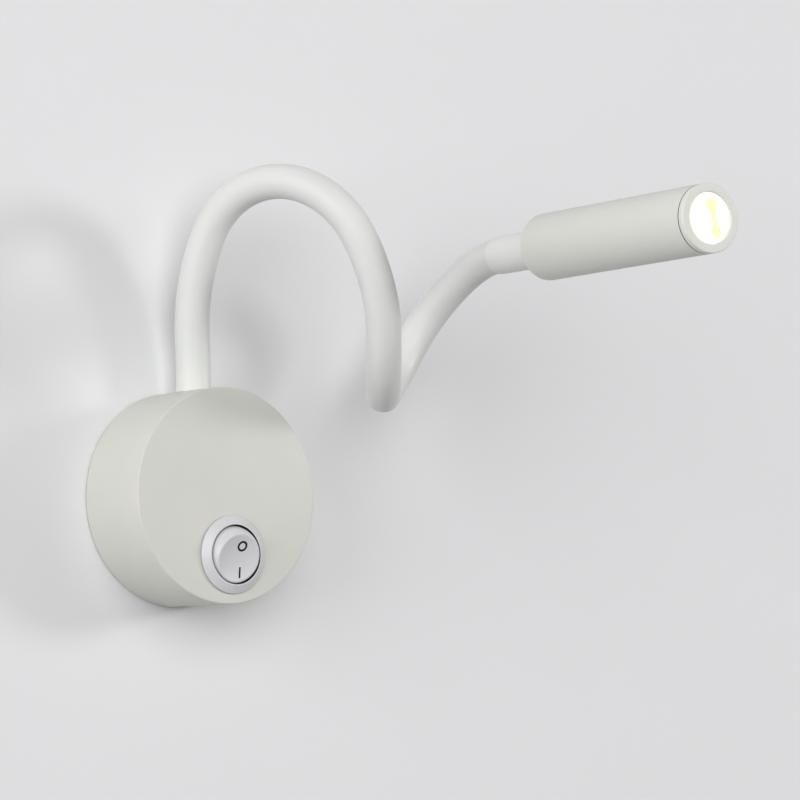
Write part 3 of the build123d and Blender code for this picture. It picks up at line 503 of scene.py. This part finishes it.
def rubber():
    look = Look("black_rubber", (0.03, 0.03, 0.032), 0.7).mottled((0.045, 0.045, 0.047), 300)
    return look.rough(0.6, 0.8, 800).grained(2500, 0.00004, 0.5).material


def jacket(name, color):
    """Extruded insulation: soft gloss with long faint draw marks."""
    look = Look(name, color, 0.42).mottled(tuple(0.85 * part for part in color), 400)
    return look.rough(0.34, 0.5, 1200).grained(2200, 0.00003, 0.3).material


def earth_jacket():
    """Green and yellow insulation, striped along the lead."""
    green = (0.05, 0.32, 0.06)
    look = Look("earth_insulation", green, 0.42)
    wave = look.add("ShaderNodeTexWave")
    wave.inputs["Scale"].default_value = 260
    wave.inputs["Distortion"].default_value = 0.4
    look.link(look.coordinates, wave.inputs["Vector"])
    stripes = ((0.0, green), (0.62, (0.80, 0.68, 0.06)))
    look.ramped(wave.outputs["Fac"], stripes, interpolation="CONSTANT")
    return look.rough(0.34, 0.5, 1200).grained(2200, 0.00003, 0.3).material


def moulded(name, color, roughness=0.55):
    """Plain moulded plastic for the hidden housings."""
    look = Look(name, color, roughness).mottled(tuple(0.93 * part for part in color), 200)
    return look.rough(roughness - 0.08, roughness + 0.08, 600).grained(1800, 0.00004, 0.5).material


def circuit():
    """Green solder mask with faint copper tracks under it."""
    mask = (0.012, 0.09, 0.035)
    look = Look("circuit_board", mask, 0.35)
    tracks = look.add("ShaderNodeTexVoronoi")
    tracks.feature = "DISTANCE_TO_EDGE"
    tracks.inputs["Scale"].default_value = 420
    look.link(look.coordinates, tracks.inputs["Vector"])
    look.ramped(tracks.outputs["Distance"], ((0.0, (0.03, 0.19, 0.07)), (0.12, mask)))
    return look.rough(0.28, 0.42, 700).grained(900, 0.00004, 0.3).material


def foam():
    look = Look("grey_foam", (0.13, 0.13, 0.14), 0.95).mottled((0.20, 0.20, 0.21), 1500)
    return look.grained(3000, 0.0002, 0.9).material


def phosphor():
    """Yellow phosphor that is lit from below."""
    look = Look("lit_phosphor", (0.95, 0.70, 0.18), 0.4).mottled((0.98, 0.80, 0.30), 1800)
    look.grained(3000, 0.00003, 0.4)
    return look.set(Emission_Color=(1.0, 0.78, 0.38, 1), Emission_Strength=1.5).material


LENS_SPOTS = (             # places right and up from the lens's middle, and radius
    (0.9, 4.0, 2.5),
    (1.3, 2.6, 1.6),
    (1.6, 1.3, 1.2),
    (1.85, 0.1, 1.05),
    (2.15, -1.2, 1.15),
    (2.5, -2.6, 1.5),
    (2.9, -3.8, 2.1),
)


def lens_light():
    """Lit lens: a white glow, and the pair of joined yellow spots that the emitter makes in it."""
    look = Look("lit_lens", (0.16, 0.16, 0.15), 0.12)
    look.grained(500, 0.00004, 0.25)
    look.set(Coat_Weight=0.3, Coat_Roughness=0.04)
    face = HEAD @ shift(0, 0, FERRULE_LENGTH + HEAD_LENGTH)
    up = Vector((0, 0, 1))
    right = up.cross(face.to_3x3().col[2]).normalized()

    def nearness(offset_right, offset_up, radius):
        """Distance from a spot, as a share of its radius, with depth counting little."""
        spot = face.translation + right * offset_right + up * offset_up
        offset = look.vector_math("SUBTRACT", look.coordinates, spot * MM)["Vector"]
        flat = look.vector_math("MULTIPLY", offset, (1, 0.05, 1))["Vector"]
        size = look.vector_math("LENGTH", flat)["Value"]
        return look.ranged(size, 0, 1, 0, radius * MM)

    def smooth_least(a, b):
        node = look.add("ShaderNodeMath")
        node.operation = "SMOOTH_MIN"
        node.inputs[2].default_value = 0.35
        look.link(a, node.inputs[0])
        look.link(b, node.inputs[1])
        return node.outputs["Value"]

    spots = nearness(*LENS_SPOTS[0])
    for spot in LENS_SPOTS[1:]:
        spots = smooth_least(spots, nearness(*spot))
    look.ramped(
        spots,
        ((0.1, (1.0, 0.93, 0.46)), (0.5, (0.90, 0.82, 0.28)), (0.95, (1.0, 1.0, 0.95))),
        target="Emission Color",
    )
    return look.set(Emission_Strength=1.0).material


# ---------------------------------------------------------------- pieces of the object


def drum():
    """Painted cup with a softened front edge, its neck, switch and screw holes."""
    inner = DRUM_R - DRUM_WALL
    face_back = DRUM_DEPTH - DRUM_FACE
    groove_r = inner + GROOVE_DEPTH
    cup = lathe("drum_shell", (
        (inner, 0),
        (DRUM_R, 0, DRUM_FOOT_ROUND),
        (DRUM_R, DRUM_DEPTH, DRUM_ROUND),
        (0, DRUM_DEPTH),
        (0, face_back),
        (inner, face_back, DRUM_INNER_ROUND),
        (inner, GROOVE[1]),
        (groove_r, GROOVE[1]),
        (groove_r, GROOVE[0]),
        (inner, GROOVE[0]),
    ), BENCH, steps=256)
    neck_hole = lathe("neck_hole", (
        (0, CUT_ABOVE),
        (SPOT_FACE_R, CUT_ABOVE),
        (SPOT_FACE_R, -SPOT_FACE_DROP),
        (STUD_HOLE_R, -SPOT_FACE_DROP),
        (STUD_HOLE_R, -CUT_BELOW),
        (0, -CUT_BELOW),
    ), BENCH @ shift(0, DRUM_R, NECK_FROM_WALL) @ turn(-90, "X"), steps=64)
    switch_hole = lathe("switch_hole", (
        (0, CUT_ABOVE),
        (PANEL_HOLE_R, CUT_ABOVE),
        (PANEL_HOLE_R, -CUT_BELOW),
        (0, -CUT_BELOW),
    ), SWITCH, steps=96)
    screw_hole = lathe("screw_hole", (
        (0, CUT_ABOVE),
        (SCREW_HEAD_R, CUT_ABOVE),
        (SCREW_HEAD_R, 0),
        (SCREW_HOLE_R, -SCREW_HEAD_H),
        (SCREW_HOLE_R, -CUT_BELOW),
        (0, -CUT_BELOW),
    ), BENCH @ shift(0, SCREW_SINK - DRUM_R, SCREW_FROM_WALL) @ turn(90, "X"), steps=48)
    cut(cup, neck_hole, switch_hole, screw_hole)
    cup.data.materials.append(drum_coat())
    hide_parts("base_drum")
    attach(cup, "base")


def paint_shade(obj, name, place, test):
    """Painted shade: a near-black second material, in the moulded plastic look, for the faces that
    pass a test of radius and height at the place.
    """
    obj.data.materials.append(moulded(name, (0.03, 0.03, 0.032)))
    to_place = place.inverted()
    for face in obj.data.polygons:
        spot = to_place @ (face.center / MM)
        if test(math.hypot(spot.x, spot.y), spot.z):
            face.material_index = 1


def bezel():
    """Round snap-in housing: sloped skirt, thin raised lip, deep opening."""
    floor = BARREL_FLOOR - BARREL_DEPTH
    under_lip = BEZEL_RISE - LIP_HEIGHT
    ring = lathe("switch_bezel", (
        (OPENING_R, BEZEL_RISE, LIP_INNER_ROUND),
        (LIP_R, BEZEL_RISE, LIP_ROUND),
        (BEZEL_R, BEZEL_FOOT, BEZEL_ROUND),
        (BEZEL_R, FOOT_GAP),
        (BEZEL_R - FOOT_GAP, FOOT_GAP),
        (BEZEL_R - FOOT_GAP, 0),
        (BARREL_R, 0),
        (BARREL_R, -BARREL_DEPTH),
        (0, -BARREL_DEPTH),
        (0, floor),
        (BORE_R, floor),
        (BORE_R, under_lip),
        (OPENING_R, under_lip),
    ), SWITCH, steps=160)
    ring.data.materials.append(switch_plastic("bezel_plastic", (0.66, 0.66, 0.675)))
    # Painted shade: the bore, the lip's inner edge and the faces from the step under the skirt down
    # are near-black.
    paint_shade(ring, "painted_shade_bore", SWITCH, lambda radius, height: (
        radius < BORE_R + NEARLY or height < FOOT_GAP + NEARLY
    ))
    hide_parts("switch_housing")
    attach(ring, "base")


def dish_edge():
    return math.sqrt(ROCKER_R**2 - ROCKER_TOP**2) - ROCKER_RIM


def dish_height(x, y):
    """Height of the rocker's dished face over its pins."""
    radius = (dish_edge()**2 + ROCKER_DISH**2) / (2 * ROCKER_DISH)
    return ROCKER_TOP - ROCKER_DISH + radius - math.sqrt(radius**2 - x**2 - y**2)


def join(first, others):
    """Moves the shells of the other objects into the first."""
    bm = bmesh.new()
    for obj in (first, *others):
        bm.from_mesh(obj.data)
    bm.to_mesh(first.data)
    bm.free()
    for obj in others:
        bpy.data.objects.remove(obj)


def rocker():
    """Ball-sided button with a dished face, a hollow skirt, a stem for the plunger and two pins."""
    parts = 16
    rise = ROCKER_TOP + ROCKER_SKIRT
    heights = [rise * step / parts - ROCKER_SKIRT for step in range(parts)]
    side = [(math.sqrt(ROCKER_R**2 - height**2), height) for height in heights]
    edge = dish_edge()
    radii = [edge * (1 - step / parts) for step in range(1, parts + 1)]
    dish = [(radius, dish_height(radius, 0)) for radius in radii]
    hollow_r = ROCKER_R - ROCKER_WALL
    body = lathe("rocker_button", (
        *side,
        (edge + ROCKER_RIM, ROCKER_TOP, ROCKER_ROUND),
        (edge, ROCKER_TOP, DISH_ROUND),
        *dish,
        (0, ROCKER_CEILING),
        (STEM_BORE_R, ROCKER_CEILING),
        (STEM_BORE_R, -STEM_DROP),
        (STEM_R, -STEM_DROP),
        (STEM_R, ROCKER_CEILING),
        (math.sqrt(hollow_r**2 - ROCKER_CEILING**2), ROCKER_CEILING),
        (hollow_r, 0),
        (side[0][0] - ROCKER_WALL, -ROCKER_SKIRT),
    ), ROCKER, steps=160)
    root = ROCKER_R - ROCKER_WALL / 2
    pin = ((0, root), (PIN_R, root), (PIN_R, PIN_REACH), (0, PIN_REACH))
    pins = [lathe("rocker_pin", pin, ROCKER @ turn(angle, "Y"), steps=32) for angle in (90, -90)]
    join(body, pins)
    body.data.materials.append(switch_plastic("rocker_plastic", (0.675, 0.675, 0.69)))
    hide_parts("switch_rocker")
    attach(body, "rocker")


def printed(name, first_row, last_row, closed):
    """Thin print lying on the dish, between two rows of (x, y) points."""
    bm = bmesh.new()

    def on_dish(points):
        spots = [Vector((x, y, dish_height(x, y) + PRINT_LIFT)) for x, y in points]
        return [bm.verts.new(ROCKER @ spot) for spot in spots]

    outer = on_dish(first_row)
    inner = on_dish(last_row)
    count = len(outer)
    for step in range(count if closed else count - 1):
        after = (step + 1) % count
        bm.faces.new((outer[step], outer[after], inner[after], inner[step]))
    mark = finish_mesh(name, bm)
    solid = mark.modifiers.new("thickness", "SOLIDIFY")
    solid.thickness = PRINT_T * MM
    mark.data.materials.append(print_ink())
    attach(mark, "rocker")


def switch_marks():
    """O above for off and I below for on."""
    middle_x, middle_y = OFF_MARK
    outer, inner = (
        [(middle_x + size * x, middle_y + size * y) for x, y in circle(48)]
        for size in (OFF_MARK_R, OFF_MARK_INNER_R)
    )
    printed("off_mark", outer, inner, closed=True)
    parts = 12
    middle_x, middle_y = ON_MARK
    shares = [2 * step / parts - 1 for step in range(parts + 1)]
    heights = [middle_y + ON_MARK_LENGTH / 2 * share for share in shares]
    right = [(middle_x + ON_MARK_W / 2, height) for height in heights]
    left = [(middle_x - ON_MARK_W / 2, height) for height in heights]
    printed("on_mark", right, left, closed=False)


def along_stretch(number, share):
    """Frame at a share of one stretch's length."""
    if share < TINY:
        return STATIONS[number]
    bend, heading = NECK_BENDS[number]
    return bent(STATIONS[number], stretch_lengths()[number] * share, bend * share, heading)


def stretch_places(number, start, end):
    """Frames along one stretch, from one share of its length to another."""
    steps = max(3, round((end - start) * stretch_lengths()[number] / TUBE_STEP))
    shares = [start + (end - start) * step / steps for step in range(steps + 1)]
    return [along_stretch(number, share) for share in shares]


def bending_tube(name, radius, inner, first_places, last_places, finish):
    """Tube through the whole neck, in eight lengths that each bend over one joint."""
    joints = len(NECK_BENDS) - 1
    lengths = []
    for joint in range(1, joints + 1):
        first_share = 0.0 if joint == 1 else 0.5
        last_share = 1.0 if joint == joints else 0.5
        places = stretch_places(joint - 1, first_share, 1.0)[:-1]
        places += stretch_places(joint, 0.0, last_share)
        if joint == 1:
            places = first_places + places
        if joint == joints:
            places = places + last_places
        piece = tube_along(f"{name}_{joint}", places, radius, inner)
        piece.data.materials.append(finish)
        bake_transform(piece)
        lengths.append(piece)
    return lengths


def neck_sleeve():
    """Silicone sleeve: eight lengths for nine stretches, so that the first one stands for two."""
    first = [NECK_FOOT @ shift(0, 0, -SLEEVE_SINK)]
    last = [HEAD @ shift(0, 0, SLEEVE_SEAT)]
    skins = bending_tube("neck_skin", NECK_R, NECK_INNER_R, first, last, silicone())
    for number, skin in enumerate(skins, 2):
        nodes = [f"neck_sleeve_{number}"] + (["neck_sleeve_1"] if number == 2 else [])
        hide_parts(*nodes)


def weighted(points, weights):
    return sum((point * weight for point, weight in zip(points, weights)), Vector())


def drum_run(steps=20):
    """Frames of the two-core lead from the driver's case to the foot of the neck."""
    start = Vector(LEAD_FROM_CASE)
    end = NECK_FOOT.translation - Vector((0, 0, LEAD_RISE))
    controls = (start, start + Vector((LEAD_OUT, 0, 0)), end - Vector((0, 0, LEAD_OUT)), end)
    places = []
    for step in range(steps + 1):
        share = step / steps
        rest = 1 - share
        weights = (rest**3, 3 * share * rest**2, 3 * share**2 * rest, share**3)
        slopes = (
            -3 * rest**2,
            3 * rest**2 - 6 * share * rest,
            6 * share * rest - 3 * share**2,
            3 * share**2,
        )
        along = weighted(controls, slopes).normalized()
        side = Vector((0, 1, 0)).cross(along).normalized()
        axes = Matrix((side, along.cross(side), along)).transposed().to_4x4()
        places.append(Matrix.Translation(weighted(controls, weights)) @ axes)
    return places


def neck_lead():
    """Two-core lead inside the neck, from the driver to the light board."""
    last = [HEAD @ shift(0, 0, LEAD_END)]
    white = jacket("white_jacket", (0.72, 0.72, 0.70))
    for piece in bending_tube("neck_lead_length", NECK_LEAD_R, None, drum_run(), last, white):
        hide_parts("neck_lead")


def ferrule():
    """Straight collar that holds the ends of sleeve and core, with a stud into the head."""
    stud_end = FERRULE_LENGTH + HEAD_STUD_LENGTH
    body = lathe("head_ferrule_sleeve", (
        (SLEEVE_SOCKET_R, 0),
        (FERRULE_R, 0, FERRULE_ROUND),
        (FERRULE_R, FERRULE_LENGTH),
        (STUD_R, FERRULE_LENGTH),
        (STUD_R, stud_end),
        (LEAD_BORE_R, stud_end),
        (LEAD_BORE_R, CORE_SOCKET_DEPTH),
        (CORE_SOCKET_R, CORE_SOCKET_DEPTH),
        (CORE_SOCKET_R, SLEEVE_SOCKET_DEPTH),
        (SLEEVE_SOCKET_R, SLEEVE_SOCKET_DEPTH),
    ), HEAD)
    body.data.materials.append(ferrule_paint())
    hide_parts("head_ferrule")
    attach(body, "head")


def head_tube():
    """Plain cylinder, closed at the rear."""
    rear = FERRULE_LENGTH
    front = FERRULE_LENGTH + HEAD_LENGTH - RING_T - RING_SEAM
    tube = lathe("head_tube_shell", (
        (STUD_HOLE_R, rear),
        (HEAD_R, rear, HEAD_REAR_ROUND),
        (HEAD_R, front, HEAD_FRONT_ROUND),
        (HEAD_BORE_R, front),
        (HEAD_BORE_R, rear + HEAD_REAR),
        (STUD_HOLE_R, rear + HEAD_REAR),
    ), HEAD, steps=192)
    tube.data.materials.append(head_coat())
    # Painted shade: the tube's front end, in the seam under the ring, is near-black.
    paint_shade(tube, "painted_shade_rim", HEAD, lambda radius, height: height > front - NEARLY)
    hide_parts("head_tube")
    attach(tube, "head")


def front_ring():
    """Ring round the lens, with a spigot into the tube."""
    front = FERRULE_LENGTH + HEAD_LENGTH
    back = front - RING_T
    ring = lathe("head_front_ring", (
        (LENS_SEAT_R, back - SPIGOT_LENGTH),
        (SPIGOT_R, back - SPIGOT_LENGTH),
        (SPIGOT_R, back),
        (HEAD_R, back, RING_BACK_ROUND),
        (HEAD_R, front, RING_ROUND),
        (LIGHT_R, front, RING_INNER_ROUND),
        (LIGHT_R, front - RING_LIP),
        (LENS_SEAT_R, front - RING_LIP),
    ), HEAD, steps=192)
    ring.data.materials.append(ring_coat())
    # Painted shade: the ring's back and its spigot, seen in the seam, are near-black.
    paint_shade(ring, "painted_shade_spigot", HEAD, lambda radius, height: height < back + NEARLY)
    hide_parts("front_ring")
    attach(ring, "head")


def dress_carried_nodes():
    """Looks of the nodes that keep their solids' own meshes, by the nodes' names."""
    cores = " ".join(f"neck_core_{number}" for number in range(1, len(NECK_BENDS) + 1))
    looks = {
        "wall_plate": zinc_steel("zinc_sheet", (0.62, 0.63, 0.64), (1, 1, 0.2)),
        "neck_washer neck_nut neck_stud": zinc_steel("zinc_turned", (0.58, 0.58, 0.59), (1, 1, 3)),
        "cover_screw clamp_screws block_screw earth_screw board_screws head_nut":
            zinc_steel("zinc_screw", (0.66, 0.66, 0.64), (1, 1, 1)),
        "cable_grommet": rubber(),
        "neutral_lead": jacket("blue_insulation", (0.02, 0.07, 0.42)),
        "live_lead switched_lead": jacket("brown_insulation", (0.12, 0.04, 0.015)),
        "light_tails": jacket("red_insulation", (0.45, 0.03, 0.02)),
        "earth_lead": earth_jacket(),
        "switch_seesaw switch_terminals earth_tag": brass(),
        "switch_plunger": moulded("natural_nylon", (0.72, 0.71, 0.64), 0.4),
        "plunger_spring": zinc_steel("spring_wire", (0.6, 0.6, 0.6), (1, 1, 1)),
        "driver_case driver_lid": moulded("driver_plastic", (0.76, 0.76, 0.75)),
        "driver_circuit": circuit(),
        "driver_components": moulded("component_resin", (0.03, 0.03, 0.034), 0.45),
        "driver_pad": foam(),
        "terminal_block": moulded("terminal_nylon", (0.74, 0.73, 0.66), 0.5),
        "heat_sink light_board": zinc_steel("turned_aluminium", (0.75, 0.76, 0.78), (1, 1, 4)),
        "light_emitter": phosphor(),
        "lens_holder": moulded("black_holder", (0.025, 0.025, 0.027), 0.5),
        "lens": lens_light(),
        cores: wound_steel(),
    }
    for names, material in looks.items():
        for name in names.split():
            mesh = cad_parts[name].data
            mesh.materials.clear()
            mesh.materials.append(material)


# ---------------------------------------------------------------- room, light and camera

WALL_HOLE_R = 0.0298
WALL_REACH = 4.2
WALL_GAP = 0.0004          # behind the lamp
FLOOR_HEIGHT = -3.0
FLOOR_REACH = 3.0
AIM = (0.03, -0.05, 0.03)  # middle of the lamp

PICTURE_PIXELS = 800
FOCAL_PIXELS = 4012
SENSOR_WIDTH = 36.0        # millimetres
CAMERA_PLACE = Matrix((
    (0.7799, -0.0609, -0.6230, -0.69685),
    (-0.6259, -0.0758, -0.7762, -0.97586),
    (0.0, 0.9953, -0.0972, -0.08677),
    (0.0, 0.0, 0.0, 1.0),
))


def one_sided(look):
    """Wall and floor vanish when looked at from behind."""
    geometry = look.add("ShaderNodeNewGeometry")
    clear = look.add("ShaderNodeBsdfTransparent")
    mix = look.add("ShaderNodeMixShader")
    output = look.tree.nodes["Material Output"]
    look.link(geometry.outputs["Backfacing"], mix.inputs["Fac"])
    look.link(look.shader.outputs["BSDF"], mix.inputs[1])
    look.link(clear.outputs["BSDF"], mix.inputs[2])
    look.link(mix.outputs["Shader"], output.inputs["Surface"])
    return look.material


def floor_sheet(material):
    bm = bmesh.new()
    corners = [(FLOOR_REACH * x, FLOOR_REACH * y) for x, y in ((-1, -1), (1, -1), (1, 1), (-1, 1))]
    bm.faces.new([bm.verts.new((x, y, FLOOR_HEIGHT)) for x, y in corners])
    sheet = new_object("floor", bm)
    sheet.data.materials.append(material)


def wall_sheet(material, steps=96):
    """Wall behind the lamp, open where the drum covers it, so that the lamp's back can be seen."""
    bm = bmesh.new()
    inner, outer = (
        [bm.verts.new((radius * x, WALL_GAP, radius * z)) for x, z in circle(steps)]
        for radius in (WALL_HOLE_R, WALL_REACH)
    )
    for step in range(steps):
        after = (step + 1) % steps
        bm.faces.new((inner[step], outer[step], outer[after], inner[after]))
    sheet = new_object("wall", bm)
    sheet.data.materials.append(material)


def room():
    wall = Look("painted_wall", (0.79, 0.79, 0.80), 0.8).mottled((0.795, 0.795, 0.805), 12)
    wall.grained(300, 0.0001, 0.1)
    wall_sheet(one_sided(wall))
    floor = Look("pale_floor", (0.72, 0.72, 0.72), 0.7).mottled((0.74, 0.74, 0.74), 8)
    floor.grained(200, 0.0001, 0.1)
    floor_sheet(one_sided(floor))


def area_light(name, place, size, power):
    """Round soft light aimed at the lamp."""
    data = bpy.data.lights.new(name, "AREA")
    data.shape = "DISK"
    data.size = size
    data.energy = power
    obj = bpy.data.objects.new(name, data)
    obj.location = place
    direction = Vector(AIM) - Vector(place)
    obj.rotation_euler = direction.to_track_quat("-Z", "Y").to_euler()
    bpy.context.scene.collection.objects.link(obj)


def lights():
    world = bpy.data.worlds.new("studio")
    bpy.context.scene.world = world
    world.use_nodes = True
    background = world.node_tree.nodes["Background"]
    background.inputs["Color"].default_value = (0.97, 0.98, 1.0, 1)
    background.inputs["Strength"].default_value = 0.10
    area_light("front", (-1.0, -2.6, 0.7), 2.4, 45.5)
    area_light("soft_left", (-2.4, -0.9, 0.35), 1.8, 35)
    area_light("key_right", (2.05, -1.35, 0.5), 0.5, 17.2)
    area_light("fill_right", (1.5, -1.9, 0.75), 1.0, 4.9)
    area_light("behind", (0.9, 1.9, 0.9), 1.6, 26)


def camera():
    """The photograph's view: from the left and a little below, long lens."""
    data = bpy.data.cameras.new("camera")
    data.sensor_fit = "HORIZONTAL"
    data.sensor_width = SENSOR_WIDTH
    data.lens = FOCAL_PIXELS * SENSOR_WIDTH / PICTURE_PIXELS
    data.clip_start = 0.01
    data.clip_end = 20
    obj = bpy.data.objects.new("camera", data)
    obj.matrix_world = CAMERA_PLACE
    bpy.context.scene.collection.objects.link(obj)
    bpy.context.scene.camera = obj


def main():
    bpy.context.scene.view_settings.view_transform = "Standard"
    drum()
    bezel()
    rocker()
    switch_marks()
    neck_sleeve()
    neck_lead()
    ferrule()
    head_tube()
    front_ring()
    dress_carried_nodes()
    room()
    lights()
    camera()
    bpy.context.view_layer.update()


main()
